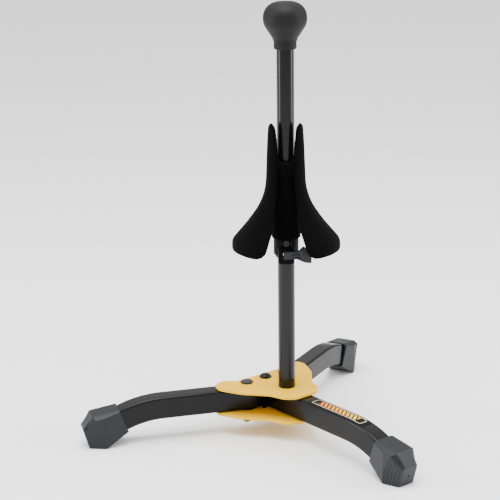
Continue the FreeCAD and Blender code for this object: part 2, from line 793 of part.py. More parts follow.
def clamp_collar():
    """Black collar pushed up inside the petals, with a boss for the clamp screw."""
    body = new_body("clamp_collar")
    section = new_sketch(body, "collar_section", "XZ_Plane")
    outline(section, [(s.collar_bore, s.collar_bottom, 0), (s.collar_radius - 2.6, s.collar_bottom, 0),
                      (s.collar_radius, s.collar_bottom + 4.0, 0), (s.collar_radius, s.collar_top, 0),
                      (s.collar_bore, s.collar_top, 0)])
    revolve(body, section)
    boss = new_sketch(body, "collar_boss", "XZ_Plane")
    outline(boss, [(s.boss_width / 2, s.boss_bottom, 2.5), (s.boss_width / 2, s.boss_top, 2.0),
                   (-s.boss_width / 2, s.boss_top, 2.0), (-s.boss_width / 2, s.boss_bottom, 2.5)])
    pad(body, boss, s.boss_front)
    bore = new_sketch(body, "collar_bore", "XY_Plane", s.boss_bottom - 1.0)
    circle(bore, 0, 0, s.collar_bore)
    pocket(body, bore, 100.0, flip=True)
    bores = [("pad_seat", as_size(3.6), as_size(0.0), s.clamp_nut_back),
             ("nut_seat", s.clamp_nut_radius, s.clamp_nut_back, s.clamp_nut_front),
             ("screw_way", s.clamp_screw_radius + 0.2, s.clamp_nut_front, s.boss_front)]
    for name, radius, near, far in bores:
        seat = new_sketch(body, name, "XZ_Plane", near)
        circle(seat, 0, s.clamp_height, radius)
        pocket(body, seat, far - near, flip=True)
    screw_seat = new_sketch(body, "screw_seat", "XZ_Plane", 9.1)
    circle(screw_seat, 0, s.collar_screw_height, 1.4)
    pocket(body, screw_seat, 5.0, flip=True)
    head_seat = new_sketch(body, "head_seat", "XZ_Plane", 11.0)
    circle(head_seat, 0, s.collar_screw_height, 3.2)
    pocket(body, head_seat, 5.0, flip=True)
    place(body, 0, s.pole_back, 0, s.peg_turn)
    return keep(body, "clamp_collar")


def forward_piece(label, steps):
    """A round piece along the clamp screw's direction: (radius, from, to, height) stretches."""
    body = new_body(label)
    for number, (radius, near, far, height) in enumerate(steps):
        sketch = new_sketch(body, "%s_disc_%d" % (label, number), "XZ_Plane", near)
        circle(sketch, 0, height, radius)
        pad(body, sketch, far - near)
    place(body, 0, s.pole_back, 0, s.peg_turn)
    return body


def collar_screw():
    steps = [(as_size(1.3), as_size(9.2), as_size(11.1), s.collar_screw_height),
             (as_size(3.0), as_size(11.1), as_size(13.0), s.collar_screw_height)]
    return keep(forward_piece("collar_screw", steps), "collar_screw")


def clamp_nut():
    """Brass insert moulded into the boss."""
    steps = [(s.clamp_nut_radius, s.clamp_nut_back, s.clamp_nut_front, s.clamp_height)]
    body = forward_piece("clamp_nut", steps)
    hole = new_sketch(body, "clamp_nut_hole", "XZ_Plane")
    circle(hole, 0, s.clamp_height, s.clamp_screw_radius + s.running_play)
    pocket(body, hole, 30.0, flip=True)
    return keep(body, "clamp_nut")


def clamp_pad():
    """Small shoe on the screw's tip, hollowed to the pole's radius."""
    body = forward_piece("clamp_pad", [(as_size(3.5), as_size(5.0), as_size(9.2), s.clamp_height)])
    hollow = new_sketch(body, "clamp_pad_hollow", "XY_Plane", s.clamp_height - 10.0)
    circle(hollow, 0, 0, s.pole_radius + s.running_play)
    pocket(body, hollow, 20.0, flip=True)
    socket = new_sketch(body, "clamp_pad_socket", "XZ_Plane", 8.0)
    circle(socket, 0, s.clamp_height, s.clamp_nose_radius + s.running_play)
    pocket(body, socket, 5.0, flip=True)
    return keep(body, "clamp_pad")


def clamp_screw():
    """Screw with a thin nose for the pad and a thin stud moulded into the lever."""
    steps = [(s.clamp_nose_radius, as_size(8.6), s.clamp_nut_back, s.clamp_height),
             (s.clamp_screw_radius, s.clamp_nut_back, s.lever_back, s.clamp_height),
             (s.clamp_stud_radius, s.lever_back, s.lever_back + STUD_LENGTH, s.clamp_height)]
    return keep(forward_piece("clamp_screw", steps), "clamp_screw")


STUD_LENGTH = 2.7
LEVER_HUB = 0.6
LEVER_THICK = 4.2


def clamp_lever():
    """Moulded thumb lever: a bar with two grooves and a broad ribbed end."""
    body = new_body("clamp_lever")
    back = s.lever_back
    front = back + LEVER_HUB + LEVER_THICK
    centre = s.clamp_height
    arm = new_sketch(body, "lever_arm", "XZ_Plane", back + LEVER_HUB)
    outline(arm, [(-2.6, centre - 3.5, 1.2), (9.5, centre - 3.2, 6.0), (17.0, centre - 6.8, 3.0),
                  (23.2, centre - 7.4, 1.2), (23.2, centre + 3.8, 1.2), (15.4, centre + 8.2, 1.6),
                  (10.6, centre + 3.4, 3.0), (-2.6, centre + 3.6, 1.2)])
    pad(body, arm, LEVER_THICK)
    hub = new_sketch(body, "lever_hub", "XZ_Plane", back)
    circle(hub, 0, centre, 2.5)
    pad(body, hub, LEVER_HUB + 1.0)
    for number, height in enumerate((-1.5, 1.5)):
        groove = new_sketch(body, "lever_groove_%d" % number, "XZ_Plane", front - 1.0)
        outline(groove, rectangle(as_size(7.0), as_size(1.1), as_size(9.2), centre + height))
        pocket(body, groove, 5.0, flip=True)
    for number in range(4):
        rib_gap = new_sketch(body, "lever_rib_%d" % number, "XZ_Plane", front - 0.7)
        outline(rib_gap, rectangle(as_size(0.8), as_size(30.0), as_size(15.9 + 1.5 * number), centre))
        pocket(body, rib_gap, 5.0, flip=True)
    stud = new_sketch(body, "lever_stud_hole", "XZ_Plane", back - 1.0)
    circle(stud, 0, centre, s.clamp_stud_radius)
    pocket(body, stud, STUD_LENGTH + 1.0, flip=True)
    place(body, 0, s.pole_back, 0, s.peg_turn)
    return keep(body, "clamp_lever")


def guide_bush():
    """Nylon ring caught inside the top of the peg, running on the pole."""
    section = ring_section(s.pole_radius + s.running_play, s.collar_radius - s.running_play,
                           s.collar_top + 0.1, s.ring_top - 2.1)
    body = turned_piece("peg_guide", section)
    place(body, 0, s.pole_back)
    return keep(body, "peg_guide")


# ---------------------------------------------------------------- assembly

plate("upper_plate", plate_high)
plate("lower_plate", plates_bottom)
fixed_leg()
fixed_boot()
end_plug()
leg_decal()
for side_name, side_sign in PIVOT_SIDES.items():
    swivel_leg(side_name + "_leg", side_sign)
    swivel_boot(side_name + "_leg_boot", side_sign)
    pivot_bush(side_name + "_leg_bush", side_sign)

group("leg_stops", [leg_stop(name + "_leg_stop", sign) for name, sign in PIVOT_SIDES.items()])
keep(sleeve("pole_bolt_sleeve", s.pole_sleeve, s.pole_screw, 0, 0), "pole_bolt_sleeve")
keep(sleeve("rear_bolt_sleeve", s.pivot_sleeve, s.small_screw, 0, s.pivot_back), "rear_bolt_sleeve")
dome_bolt("rear_bolt", 0, s.pivot_back)
group("pivot_sleeves", [sleeve(name + "_pivot_sleeve", s.pivot_sleeve, s.small_screw,
                               s.pivot_side * sign, s.pivot_back) for name, sign in PIVOT_SIDES.items()])
group("pivot_bolts", [low_head_bolt(name + "_pivot_bolt", s.pivot_side * sign, s.pivot_back)
                      for name, sign in PIVOT_SIDES.items()])
group("cap_nuts", [cap_nut(name, x, s.pivot_back) for name, x in
                   (("left_nut", -s.pivot_side), ("rear_nut", as_size(0.0)), ("right_nut", s.pivot_side))])
low_washer = (plate_low, plate_low + s.washer_thick)
high_washer = (plate_high - s.washer_thick, plate_high)
group("leg_washers", [flat_washer("%s_%s_washer" % (name, level), s.pivot_sleeve + s.running_play,
                                  as_size(8.6), bottom, top, s.pivot_side * sign, s.pivot_back)
                      for name, sign in PIVOT_SIDES.items()
                      for level, (bottom, top) in (("low", low_washer), ("high", high_washer))])
pole_bolt()
keep(flat_washer("pole_bolt_washer", s.pole_screw + s.screw_play, as_size(8.5), plates_bottom - 1.2,
                 plates_bottom, 0, 0), "pole_bolt_washer")
pole()
pole_foot()
knob()
guide_bush()
petals()
clamp_collar()
collar_screw()
clamp_nut()
clamp_pad()
clamp_screw()
clamp_lever()

doc.recompute()
for thing in doc.Objects:
    if "Invalid" in thing.State or "Error" in thing.State:
        raise ValueError("%s failed: %s" % (thing.Name, thing.State))
os.makedirs("parts", exist_ok=True)
for node in nodes:
    shape = node.Shape
    if shape.isNull() or not shape.isValid():
        raise ValueError(node.Label + " has no valid shape")
    shape.exportStep("parts/%s.step" % node.Label)
    box = shape.BoundBox
    print("%-18s solids %d volume %9.1f  x %7.1f %7.1f  y %7.1f %7.1f  z %7.1f %7.1f" % (
        node.Label, len(shape.Solids), shape.Volume, box.XMin, box.XMax, box.YMin, box.YMax,
        box.ZMin, box.ZMax))
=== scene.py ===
import bmesh
import bpy
import math
from mathutils import Matrix, Vector


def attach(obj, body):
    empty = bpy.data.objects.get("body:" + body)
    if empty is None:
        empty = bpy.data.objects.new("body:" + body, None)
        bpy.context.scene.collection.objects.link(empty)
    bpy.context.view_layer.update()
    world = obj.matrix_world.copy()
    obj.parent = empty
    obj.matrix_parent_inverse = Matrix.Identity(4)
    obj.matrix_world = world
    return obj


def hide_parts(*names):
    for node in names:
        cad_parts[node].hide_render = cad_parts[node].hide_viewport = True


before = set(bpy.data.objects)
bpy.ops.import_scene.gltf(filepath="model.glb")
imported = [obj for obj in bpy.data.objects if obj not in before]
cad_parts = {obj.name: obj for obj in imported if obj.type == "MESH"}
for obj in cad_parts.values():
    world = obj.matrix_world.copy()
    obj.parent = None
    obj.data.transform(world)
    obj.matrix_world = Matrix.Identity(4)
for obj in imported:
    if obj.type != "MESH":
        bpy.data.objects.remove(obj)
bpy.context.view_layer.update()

# Looks of the peg stand. Shapes are modelled in millimetres, in the frame of the leg,
# plate or peg they belong to, and set down in the stand's frame in metres. A leg's own
# frame runs out along it from its hinge, the fixed leg's from the pole. Corner lists hold
# (x, y, corner radius), and lathe profiles (radius, height).

MM = 0.001
POLE_BACK = 32.0
PIVOT_SIDE = 23.3
PIVOT_BACK = 32.3
LEG_TURN = 24.0
PEG_TURN = -39.4
CLAMP_HEIGHT = 182.3

TUBE_HEIGHT = 33.0
TUBE_WIDTH = 18.0
TUBE_DEPTH = 22.0
WASHER = 0.5
PLATE_THICK = 2.5
UPPER_PLATE_LOW = TUBE_HEIGHT + TUBE_DEPTH / 2 + WASHER
LOWER_PLATE_LOW = TUBE_HEIGHT - TUBE_DEPTH / 2 - WASHER - PLATE_THICK
PLATE_TOP = UPPER_PLATE_LOW + PLATE_THICK


# ---------------------------------------------------------------- places

def spot(x=0.0, y=0.0, z=0.0, turn=0.0):
    """From millimetres in a piece's own frame to metres in the stand's frame."""
    return (Matrix.Scale(MM, 4) @ Matrix.Translation((x, y, z))
            @ Matrix.Rotation(math.radians(turn), 4, "Z"))


PLATE_SPOT = spot(0, POLE_BACK, 0)
REAR_BOLT_SPOT = spot(0, POLE_BACK + PIVOT_BACK)
PEG_SPOT = spot(0, POLE_BACK, 0, PEG_TURN)
LEG_SPOTS = {
    "fixed_leg": spot(0, POLE_BACK, TUBE_HEIGHT, -90),
    "right_leg": spot(PIVOT_SIDE, POLE_BACK + PIVOT_BACK, TUBE_HEIGHT, LEG_TURN),
    "left_leg": spot(-PIVOT_SIDE, POLE_BACK + PIVOT_BACK, TUBE_HEIGHT, 180 - LEG_TURN),
}
LEG_BODIES = {"fixed_leg": "base", "right_leg": "right_leg", "left_leg": "left_leg"}

# the inner end of each tube, the slant of that end, and where the bend starts
LEG_STARTS = {"fixed_leg": -41.5, "right_leg": -9.55, "left_leg": -9.55}
LEG_SLANTS = {"fixed_leg": 0.0, "right_leg": -0.194, "left_leg": 0.194}
LEG_STRAIGHTS = {"fixed_leg": 91.4, "right_leg": 83.6, "left_leg": 83.6}


# ---------------------------------------------------------------- outlines

def rounded(corners, step=8.0, closed=True):
    """Points along a polygon whose (x, y, radius) corners are rounded with arcs."""
    points = []
    count = len(corners)
    for i, (x, y, radius) in enumerate(corners):
        here = Vector((x, y))
        end = not closed and i in (0, count - 1)
        if radius <= 0 or end:
            points.append(here)
            continue
        back = (Vector(corners[i - 1][:2]) - here).normalized()
        ahead = (Vector(corners[(i + 1) % count][:2]) - here).normalized()
        half = back.angle(ahead) / 2
        centre = here + (back + ahead).normalized() * (radius / math.sin(half))
        first = here + back * (radius / math.tan(half)) - centre
        last = here + ahead * (radius / math.tan(half)) - centre
        sweep = first.angle_signed(last)
        pieces = max(2, int(math.degrees(abs(sweep)) / step) + 1)
        for k in range(pieces + 1):
            points.append(centre + Matrix.Rotation(-sweep * k / pieces, 2) @ first)
    return [(p.x, p.y) for p in points]


def box_outline(width, height, radius, x=0.0, y=0.0):
    w, h = width / 2, height / 2
    return rounded([(x + w, y + h, radius), (x - w, y + h, radius),
                    (x - w, y - h, radius), (x + w, y - h, radius)])


def circle_outline(radius, x=0.0, y=0.0, count=48):
    return [(x + radius * math.cos(math.tau * k / count),
             y + radius * math.sin(math.tau * k / count)) for k in range(count)]


def raised(points, height):
    """The same (x, y) points or (x, y, radius) corners, higher by height."""
    return [(x, height + y, *radius) for x, y, *radius in points]


# ---------------------------------------------------------------- meshes

LATHE_COUNT = 96
DENT_COUNT = 24
RING_STEP = 10.0
MOULD_GRAIN = 0.4
CHAMFER_SEGMENTS = 2
SAME_POINT = 1e-5


def put_in_scene(name, data):
    thing = bpy.data.objects.new(name, data)
    bpy.context.scene.collection.objects.link(thing)
    return thing


def new_piece(name, verts, faces):
    mesh = bpy.data.meshes.new(name)
    mesh.from_pydata(verts, [], faces)
    mesh.validate()
    piece = put_in_scene(name, mesh)
    face_outwards(piece)
    return piece


def face_outwards(piece):
    bm = bmesh.new()
    bm.from_mesh(piece.data)
    bmesh.ops.remove_doubles(bm, verts=bm.verts, dist=SAME_POINT)
    bmesh.ops.recalc_face_normals(bm, faces=bm.faces)
    bm.to_mesh(piece.data)
    bm.free()


def shaped_mesh(thing):
    """A new mesh of a curve or of a piece with its modifiers."""
    bpy.context.view_layer.update()
    return bpy.data.meshes.new_from_object(
        thing.evaluated_get(bpy.context.evaluated_depsgraph_get()))


def bake(piece):
    """Turn a piece's modifiers into its mesh."""
    mesh = shaped_mesh(piece)
    piece.modifiers.clear()
    old = piece.data
    piece.data = mesh
    mesh.name = piece.name
    bpy.data.meshes.remove(old)


def join(name, pieces):
    """One piece made of several."""
    bm = bmesh.new()
    for piece in pieces:
        bm.from_mesh(piece.data)
    mesh = bpy.data.meshes.new(name)
    bm.to_mesh(mesh)
    bm.free()
    for piece in pieces:
        drop(piece)
    return put_in_scene(name, mesh)


def drop(piece):
    mesh = piece.data
    bpy.data.objects.remove(piece)
    if mesh.users == 0:
        bpy.data.meshes.remove(mesh)


def carve(piece, tools, operation="DIFFERENCE"):
    for tool in tools:
        cut = piece.modifiers.new("carve", "BOOLEAN")
        cut.operation = operation
        cut.solver = "EXACT"
        cut.object = tool
    bake(piece)
    for tool in tools:
        drop(tool)


def mould(piece, rounds):
    """Melt overlapping shapes into one skin and soften its edges in some rounds."""
    skin = piece.modifiers.new("skin", "REMESH")
    skin.mode = "VOXEL"
    skin.voxel_size = MOULD_GRAIN
    soft = piece.modifiers.new("soft", "SMOOTH")
    soft.factor = 0.5
    soft.iterations = rounds
    bake(piece)


def chamfer(piece, width, angle):
    edge = piece.modifiers.new("edge", "BEVEL")
    edge.width = width
    edge.segments = CHAMFER_SEGMENTS
    edge.limit_method = "ANGLE"
    edge.angle_limit = math.radians(angle)
    edge.harden_normals = False
    bake(piece)


def set_down(piece, matrix, body, finish, nodes, sharp):
    """Move a piece into the stand's frame, shade it and let it ride on its body."""
    piece.data.transform(matrix)
    piece.data.shade_smooth()
    if sharp is not None:
        piece.data.set_sharp_from_angle(angle=math.radians(sharp))
    piece.data.materials.clear()
    piece.data.materials.append(MATERIALS[finish])
    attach(piece, body)
    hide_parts(*nodes)


def lathe(name, profile, count=LATHE_COUNT):
    """Turn (radius, height) points about the axis; points at radius 0 become poles."""
    verts, rings = [], []
    for radius, height in profile:
        if radius < SAME_POINT:
            rings.append([len(verts)] * count)
            verts.append((0, 0, height))
            continue
        rings.append(list(range(len(verts), len(verts) + count)))
        for k in range(count):
            a = math.tau * k / count
            verts.append((radius * math.cos(a), radius * math.sin(a), height))
    faces = []
    for low, high in zip(rings, rings[1:]):
        for k in range(count):
            n = (k + 1) % count
            corners = []
            for v in (low[k], low[n], high[n], high[k]):
                if v not in corners:
                    corners.append(v)
            if len(corners) > 2:
                faces.append(corners)
    return new_piece(name, verts, faces)


def ring_lathe(name, corners, count=LATHE_COUNT):
    """Turn a closed ring section with rounded corners."""
    points = rounded(corners, RING_STEP)
    return lathe(name, points + [points[0]], count)


def prism(name, outline, low, high):
    """Straight-sided upright solid."""
    count = len(outline)
    verts = [(x, y, low) for x, y in outline] + [(x, y, high) for x, y in outline]
    faces = [list(range(count)), list(range(2 * count - 1, count - 1, -1))]
    for k in range(count):
        n = (k + 1) % count
        faces.append([k, n, n + count, k + count])
    return new_piece(name, verts, faces)


def forward_prism(name, outline, back, front):
    """Straight-sided solid with an (x, height) outline, running forward from the peg's axis."""
    piece = prism(name, outline, back, front)
    piece.data.transform(Matrix.Rotation(math.radians(90), 4, "X"))
    return piece


def skin_loops(name, verts, count):
    """Closed solid over loops of count points each, one after the other."""
    faces = []
    for i in range(len(verts) // count - 1):
        for k in range(count):
            n = (k + 1) % count
            faces.append([i * count + k, i * count + n, (i + 1) * count + n, (i + 1) * count + k])
    faces.append(list(range(count)))
    faces.append(list(range(len(verts) - 1, len(verts) - count - 1, -1)))
    return new_piece(name, verts, faces)


def slab(name, outline, holes, low, high, edge):
    """Flat plate with rounded rims, also round its holes."""
    curve = bpy.data.curves.new(name, "CURVE")
    curve.dimensions = "2D"
    curve.fill_mode = "BOTH"
    curve.extrude = (high - low) / 2 - edge
    curve.bevel_depth = edge
    curve.bevel_resolution = 3
    curve.offset = -edge
    for points in [outline] + holes:
        spline = curve.splines.new("POLY")
        spline.points.add(len(points) - 1)
        for place, (x, y) in zip(spline.points, points):
            place.co = (x, y, 0, 1)
        spline.use_cyclic_u = True
    shape = put_in_scene(name + "_curve", curve)
    mesh = shaped_mesh(shape)
    bpy.data.objects.remove(shape)
    bpy.data.curves.remove(curve)
    mesh.name = name
    mesh.transform(Matrix.Translation((0, 0, (low + high) / 2)))
    piece = put_in_scene(name, mesh)
    face_outwards(piece)
    return piece


# ---------------------------------------------------------------- materials

# noise scales are in cycles per metre, depths in metres
MOTTLE_SCALE = 35.0
MOTTLE_SPAN = (0.35, 0.65)
GLOSS_SPAN = (0.45, 0.95)
FINE_IN_GLOSS = 0.4
SCUFF_SCALE = 180.0
SCUFF_STRETCH = (1.0, 1.0, 2.4)
SCUFF_SPAN = (0.68, 0.76)
SCUFF_DULLING = 0.25


class Nodes:
    """Small helper that adds and links shader nodes of one material."""

    def __init__(self, material):
        material.use_nodes = True
        self.tree = material.node_tree
        self.shader = self.tree.nodes["Principled BSDF"]

    def add(self, kind, **values):
        node = self.tree.nodes.new(kind)
        for key, value in values.items():
            if hasattr(node, key):
                setattr(node, key, value)
            else:
                node.inputs[key].default_value = value
        return node

    def link(self, source, target):
        self.tree.links.new(source, target)

    def noise(self, scale, detail, roughness, stretch=(1, 1, 1)):
        """Noise in the piece's own coordinates, in metres."""
        place = self.add("ShaderNodeTexCoord")
        mapping = self.add("ShaderNodeMapping", Scale=stretch)
        self.link(place.outputs["Object"], mapping.inputs["Vector"])
        node = self.add("ShaderNodeTexNoise", Scale=scale, Detail=detail, Roughness=roughness)
        self.link(mapping.outputs[0], node.inputs["Vector"])
        return node.outputs["Fac"]

    def ramp(self, source, span, start, end):
        """Map source from a span of low and high to start..end, clamped."""
        node = self.add("ShaderNodeMapRange")
        node.inputs["From Min"].default_value = span[0]
        node.inputs["From Max"].default_value = span[1]
        node.inputs["To Min"].default_value = start
        node.inputs["To Max"].default_value = end
        self.link(source, node.inputs["Value"])
        return node.outputs["Result"]

    def mix(self, factor, first, second):
        """Colour between two, each an (r, g, b) or a socket."""
        node = self.add("ShaderNodeMix", data_type="RGBA")
        for colour, socket in ((first, node.inputs[6]), (second, node.inputs[7])):
            if isinstance(colour, tuple):
                socket.default_value = (*colour, 1.0)
            else:
                self.link(colour, socket)
        self.link(factor, node.inputs[0])
        return node.outputs[2]

    def math(self, operation, *values):
        node = self.add("ShaderNodeMath", operation=operation)
        for socket, value in zip(node.inputs, values):
            if isinstance(value, (int, float)):
                socket.default_value = value
            else:
                self.link(value, socket)
        return node.outputs[0]

    def bump(self, height, distance, under=None):
        node = self.add("ShaderNodeBump", Distance=distance)
        self.link(height, node.inputs["Height"])
        if under is not None:
            self.link(under, node.inputs["Normal"])
        return node.outputs["Normal"]


def finish_of(name, colour, tint, roughness, spread, specular=0.5, metal=0.0, coat=0.0,
              coat_roughness=0.1, sheen=0.0, sheen_roughness=0.5, grain=600.0, grain_depth=0.0,
              swell=60.0, swell_depth=0.0, scuffs=0.0, scuff_colour=(0.3, 0.3, 0.3)):
    """Painted, moulded, plated or flocked surface with uneven colour, gloss and relief."""
    material = bpy.data.materials.new(name)
    nodes = Nodes(material)
    shader = nodes.shader
    broad = nodes.noise(MOTTLE_SCALE, detail=5.0, roughness=0.6)
    fine = nodes.noise(grain, detail=3.0, roughness=0.6)
    colour_out = nodes.mix(nodes.ramp(broad, MOTTLE_SPAN, 0.0, 1.0), colour, tint)
    uneven = nodes.math("ADD", broad, nodes.math("MULTIPLY", fine, FINE_IN_GLOSS))
    rough_out = nodes.ramp(uneven, GLOSS_SPAN, roughness - spread, roughness + spread)
    if scuffs > 0.0:
        marks = nodes.noise(SCUFF_SCALE, detail=6.0, roughness=0.75, stretch=SCUFF_STRETCH)
        worn = nodes.ramp(marks, SCUFF_SPAN, 0.0, scuffs)
        colour_out = nodes.mix(worn, colour_out, scuff_colour)
        rough_out = nodes.math("ADD", rough_out, nodes.math("MULTIPLY", worn, SCUFF_DULLING))
    nodes.link(colour_out, shader.inputs["Base Color"])
    nodes.link(rough_out, shader.inputs["Roughness"])
    normal = None
    if swell_depth > 0.0:
        normal = nodes.bump(nodes.noise(swell, detail=2.0, roughness=0.5), swell_depth)
    if grain_depth > 0.0:
        normal = nodes.bump(fine, grain_depth, normal)
    if normal is not None:
        nodes.link(normal, shader.inputs["Normal"])
    shader.inputs["Metallic"].default_value = metal
    shader.inputs["Specular IOR Level"].default_value = specular
    shader.inputs["Coat Weight"].default_value = coat
    shader.inputs["Coat Roughness"].default_value = coat_roughness
    shader.inputs["Sheen Weight"].default_value = sheen
    shader.inputs["Sheen Roughness"].default_value = sheen_roughness
    return material


FINISHES = {
    "yellow_paint": dict(
        colour=(0.80, 0.455, 0.006), tint=(0.77, 0.43, 0.005), roughness=0.38, spread=0.04,
        specular=0.10, coat=0.04, coat_roughness=0.2, grain=2600.0, grain_depth=0.000015,
        swell=160.0, swell_depth=0.00004, scuffs=0.12, scuff_colour=(0.66, 0.38, 0.03)),
    "leg_paint": dict(
        colour=(0.0030, 0.0030, 0.0034), tint=(0.0036, 0.0036, 0.0040), roughness=0.25,
        spread=0.03, specular=0.16, grain=2400.0, grain_depth=0.00001, scuffs=0.08,
        scuff_colour=(0.04, 0.04, 0.043)),
    "pole_paint": dict(
        colour=(0.0034, 0.0030, 0.0032), tint=(0.0040, 0.0036, 0.0038), roughness=0.22,
        spread=0.03, specular=0.24, grain=2400.0, grain_depth=0.000012, scuffs=0.06,
        scuff_colour=(0.06, 0.06, 0.06)),
    "boot_rubber": dict(
        colour=(0.0058, 0.0064, 0.0078), tint=(0.0070, 0.0076, 0.0092), roughness=0.42,
        spread=0.05, specular=0.26, grain=1500.0, grain_depth=0.00008, swell=260.0,
        swell_depth=0.00006, scuffs=0.3, scuff_colour=(0.14, 0.14, 0.15)),
    "knob_rubber": dict(
        colour=(0.0060, 0.0060, 0.0062), tint=(0.0076, 0.0076, 0.0078), roughness=0.58,
        spread=0.06, specular=0.16, grain=1700.0, grain_depth=0.00006, swell=120.0,
        swell_depth=0.00015, scuffs=0.25, scuff_colour=(0.09, 0.09, 0.09)),
    "velvet": dict(
        colour=(0.0010, 0.0010, 0.0011), tint=(0.0016, 0.0016, 0.0017), roughness=0.92,
        spread=0.05, specular=0.03, sheen=0.012, sheen_roughness=0.4, grain=5200.0,
        grain_depth=0.00022, swell=240.0, swell_depth=0.0002),
    "black_plastic": dict(
        colour=(0.0010, 0.0010, 0.0011), tint=(0.0015, 0.0015, 0.0016), roughness=0.45,
        spread=0.05, specular=0.05, grain=2000.0, grain_depth=0.00003),
    "lever_plastic": dict(
        colour=(0.010, 0.0105, 0.012), tint=(0.013, 0.0136, 0.0155), roughness=0.36,
        spread=0.05, specular=0.22, grain=2200.0, grain_depth=0.00003, scuffs=0.25,
        scuff_colour=(0.13, 0.13, 0.14)),
    "nylon": dict(
        colour=(0.72, 0.70, 0.64), tint=(0.66, 0.64, 0.58), roughness=0.48, spread=0.06,
        grain=1800.0, grain_depth=0.00003),
    "zinc_steel": dict(
        colour=(0.58, 0.58, 0.56), tint=(0.50, 0.50, 0.49), roughness=0.34, spread=0.08,
        metal=1.0, grain=2600.0, grain_depth=0.00002),
    "black_bolt": dict(
        colour=(0.003, 0.003, 0.0033), tint=(0.004, 0.004, 0.0044), roughness=0.20,
        spread=0.04, specular=0.12, coat=0.1, coat_roughness=0.06, grain=2400.0,
        grain_depth=0.00001),
    "dark_bolt": dict(
        colour=(0.020, 0.0175, 0.020), tint=(0.025, 0.022, 0.024), roughness=0.36,
        spread=0.05, specular=0.25, grain=2400.0, grain_depth=0.00002),
    "brass_insert": dict(
        colour=(0.62, 0.44, 0.18), tint=(0.55, 0.38, 0.15), roughness=0.30, spread=0.06,
        metal=1.0, grain=2600.0, grain_depth=0.00002),
    "decal_print": dict(
        colour=(0.0016, 0.0016, 0.0018), tint=(0.0022, 0.0022, 0.0024), roughness=0.30,
        spread=0.04, specular=0.07, grain=2600.0, grain_depth=0.000008),
}
MATERIALS = {name: finish_of(name, **look) for name, look in FINISHES.items()}


# The print is measured in millimetres from the label's middle, which is this far from the
# pole. The frame's straights are half lengths across and along, and the bars' sides and
# ends are measured outwards from them. Spans of two values are soft edges.
LABEL_MIDDLE = 75.0
FRAME_STRAIGHTS = (2.9, 30.9)
FRAME_CORNER = 2.0
FRAME_LINE = (0.22, 0.34)
FRAME_COLOUR = (0.76, 0.66, 0.42)
BARS_PER_MM = 0.2
BAR_SLANT = 0.7
BAR_SPAN = (0.62, 0.66)
BAR_SIDES = (0.5, 0.8)
BAR_ENDS = (-5.4, -5.1)
BAR_FADE = (-26.0, 26.0)
BAR_ORANGE = (0.78, 0.17, 0.004)
BAR_YELLOW = (0.84, 0.50, 0.02)


def print_label(material):
    """Add a thin pale frame and slanted bars that fade from orange to yellow."""
    nodes = Nodes(material)
    ground = nodes.shader.inputs["Base Color"].links[0].from_socket
    place = nodes.add("ShaderNodeTexCoord")
    axes = nodes.add("ShaderNodeSeparateXYZ")
    nodes.link(place.outputs["Object"], axes.inputs[0])
    across = nodes.math("MULTIPLY", axes.outputs["X"], 1 / MM)
    along = nodes.math("MULTIPLY_ADD", axes.outputs["Y"], -1 / MM, POLE_BACK - LABEL_MIDDLE)
    wide = nodes.math("SUBTRACT", nodes.math("ABSOLUTE", across), FRAME_STRAIGHTS[0])
    long = nodes.math("SUBTRACT", nodes.math("ABSOLUTE", along), FRAME_STRAIGHTS[1])

    # distance from the frame's round-cornered line
    squares = [nodes.math("POWER", nodes.math("MAXIMUM", side, 0.0), 2.0) for side in (wide, long)]
    outside = nodes.math("POWER", nodes.math("ADD", *squares), 0.5)
    inside = nodes.math("MINIMUM", nodes.math("MAXIMUM", wide, long), 0.0)
    rim = nodes.math("SUBTRACT", nodes.math("ADD", outside, inside), FRAME_CORNER)
    frame_line = nodes.ramp(nodes.math("ABSOLUTE", rim), FRAME_LINE, 1.0, 0.0)

    slanted = nodes.math("MULTIPLY_ADD", across, BAR_SLANT, along)
    phase = nodes.math("FRACT", nodes.math("MULTIPLY", slanted, BARS_PER_MM))
    field = nodes.math("MULTIPLY", nodes.ramp(wide, BAR_SIDES, 1.0, 0.0),
                       nodes.ramp(long, BAR_ENDS, 1.0, 0.0))
    bars = nodes.math("MULTIPLY", nodes.ramp(phase, BAR_SPAN, 1.0, 0.0), field)
    fade = nodes.mix(nodes.ramp(along, BAR_FADE, 0.0, 1.0), BAR_ORANGE, BAR_YELLOW)
    printed = nodes.mix(bars, ground, fade)
    framed = nodes.mix(frame_line, printed, FRAME_COLOUR)
    nodes.link(framed, nodes.shader.inputs["Base Color"])


print_label(MATERIALS["decal_print"])


# ---------------------------------------------------------------- legs

BEND_RADIUS = 100.0
BEND_TURN = 23.0
BEND_STEPS = 24
STRAIGHT_STEPS = 12
LEG_TAIL = 20.0
TUBE_CORNER = 2.6
TUBE_WALL = 1.5
BORE_START = 3.0
TUBE_EDGE = 0.25


def centre_line(start, straight, turn, straight_steps, bend_steps):
    """(x, z, angle) along a leg in its own frame: level, then bending down by turn."""
    stations = [(start + (straight - start) * k / straight_steps, 0.0, 0.0)
                for k in range(straight_steps)]
    for k in range(bend_steps + 1):
        angle = math.radians(turn) * k / bend_steps
        stations.append((straight + BEND_RADIUS * math.sin(angle),
                         BEND_RADIUS * (math.cos(angle) - 1), angle))
    return stations


def leg_stations(start, straight):
    """The whole centre line, with the straight tail inside the boot."""
    stations = centre_line(start, straight, BEND_TURN, STRAIGHT_STEPS, BEND_STEPS)
    x, z, angle = stations[-1]
    stations.append((x + LEG_TAIL * math.cos(angle), z - LEG_TAIL * math.sin(angle), angle))
    return stations


def sweep(name, section, stations, slant=0.0):
    """Carry a (y, z) section along the stations; slant skews the first one."""
    verts = []
    for i, (x, z, angle) in enumerate(stations):
        for across, up in section:
            skew = slant * across if i == 0 else 0.0
            verts.append((x + up * math.sin(angle) + skew, across, z + up * math.cos(angle)))
    return skin_loops(name, verts, len(section))


